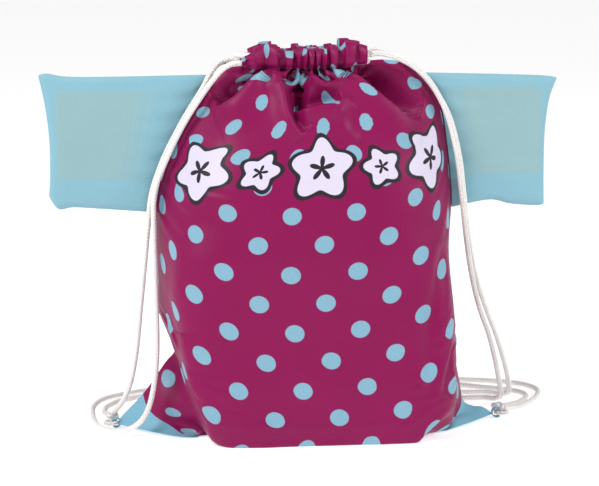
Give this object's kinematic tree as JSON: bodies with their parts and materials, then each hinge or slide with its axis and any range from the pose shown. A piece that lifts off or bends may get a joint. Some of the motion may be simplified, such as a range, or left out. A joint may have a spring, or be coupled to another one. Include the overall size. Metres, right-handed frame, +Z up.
{
  "type": "drawstring backpack",
  "caption": "Standing T-shirt-shaped drawstring backpack with a gathered mouth, flat stiffened sleeves and cords running down to the bottom corners.",
  "frame": {"origin": "on the floor, under the middle of the standing bag", "axes": "+Z up, +X to the right sleeve, the printed front faces -Y"},
  "size_m": [0.4818, 0.2265, 0.352],
  "materials": {
    "printed_fabric": "satin",
    "sleeve_fabric": "satin",
    "cord": "matte",
    "tape": "matte",
    "card": "matte"
  },
  "bodies": {
    "bag": {"front_panel": "printed_fabric", "back_panel": "printed_fabric", "front_hem": "printed_fabric", "back_hem": "printed_fabric", "left_cord_in_hem": "cord", "right_cord_in_hem": "cord", "left_cord_front_strand": "cord", "left_cord_back_strand": "cord", "right_cord_front_strand": "cord", "right_cord_back_strand": "cord", "left_cord_knot": "cord", "right_cord_knot": "cord", "left_corner_loop": "tape", "right_corner_loop": "tape"},
    "left_sleeve": {"left_sleeve_front": "sleeve_fabric", "left_sleeve_back": "sleeve_fabric", "left_sleeve_card": "card"},
    "right_sleeve": {"right_sleeve_front": "sleeve_fabric", "right_sleeve_back": "sleeve_fabric", "right_sleeve_card": "card"}
  },
  "joints": [
    {"name": "left_sleeve_swing", "type": "hinge", "parent": "bag", "child": "left_sleeve", "pos_m": [-0.124, 0.004, 0.263], "axis": [-0.3688, 0, -0.9295], "range_deg": [0, 70]},
    {"name": "right_sleeve_swing", "type": "hinge", "parent": "bag", "child": "right_sleeve", "pos_m": [0.1395, 0.004, 0.263], "axis": [-0.1796, 0, 0.9837], "range_deg": [0, 70]}
  ]
}
